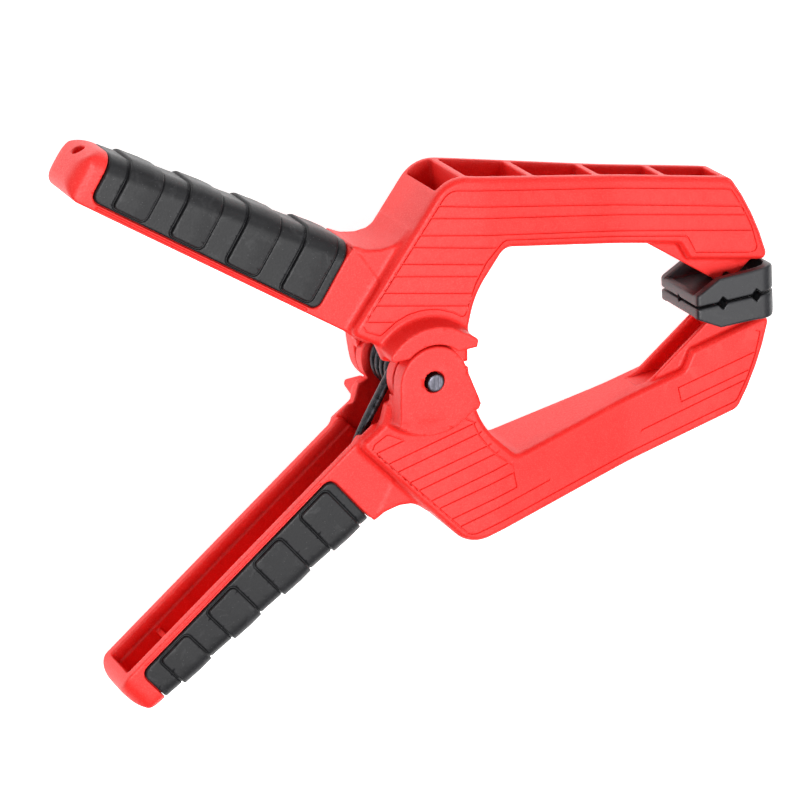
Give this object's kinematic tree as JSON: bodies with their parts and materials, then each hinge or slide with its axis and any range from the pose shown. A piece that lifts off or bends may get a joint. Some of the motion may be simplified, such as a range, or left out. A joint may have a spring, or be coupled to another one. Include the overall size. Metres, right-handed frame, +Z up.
{
  "type": "spring clamp",
  "caption": "Large plastic spring clamp: paired pivoted arms with open-ribbed jaws, torsion spring, ribbed soft grips and swivelling jaw pads.",
  "frame": {"origin": "middle of the footprint of the clamp lying on its side, at the lower end of the pivot pin", "axes": "+X along the clamp's centre line from the handles towards the jaws, +Y across the jaws towards the upper arm, +Z up along the pivot axis"},
  "size_m": [0.2554, 0.1974, 0.0456],
  "materials": {
    "arm_nylon": "fine grained satin, bright red glass-filled nylon",
    "grip_rubber": "matte black thermoplastic rubber",
    "pad_nylon": "satin charcoal nylon",
    "pin_steel": "zinc plated, knurled at the ends",
    "spring_steel": "dark oiled spring wire"
  },
  "bodies": {
    "lower": {"lower_arm": "arm_nylon", "lower_grip": "grip_rubber", "pivot_pin": "pin_steel", "torsion_spring": "spring_steel", "lower_pad_pin": "pin_steel"},
    "upper": {"upper_arm": "arm_nylon", "upper_grip": "grip_rubber", "upper_pad_pin": "pin_steel"},
    "lower_pad": {"lower_jaw_pad": "pad_nylon"},
    "upper_pad": {"upper_jaw_pad": "pad_nylon"}
  },
  "joints": [
    {"name": "jaw_open", "type": "hinge", "parent": "lower", "child": "upper", "pos_m": [-0.0107, 0, 0.0228], "axis": [0, 0, 1], "range_deg": [0, 48], "stiffness_Nm_per_rad": 4, "springref_deg": -57.3, "deforming": ["torsion_spring"]},
    {"name": "lower_pad_swivel", "type": "hinge", "parent": "lower", "child": "lower_pad", "pos_m": [0.1103, -0.0066, 0.0228], "axis": [0, 0, 1], "range_deg": [0, 24]},
    {"name": "upper_pad_swivel", "type": "hinge", "parent": "upper", "child": "upper_pad", "pos_m": [0.1103, 0.0066, 0.0228], "axis": [0, 0, 1], "range_deg": [-24, 0]}
  ],
  "couplings": [
    {"joint": "lower_pad_swivel", "follows": "jaw_open", "ratio": 0.5},
    {"joint": "upper_pad_swivel", "follows": "jaw_open", "ratio": -0.5}
  ]
}
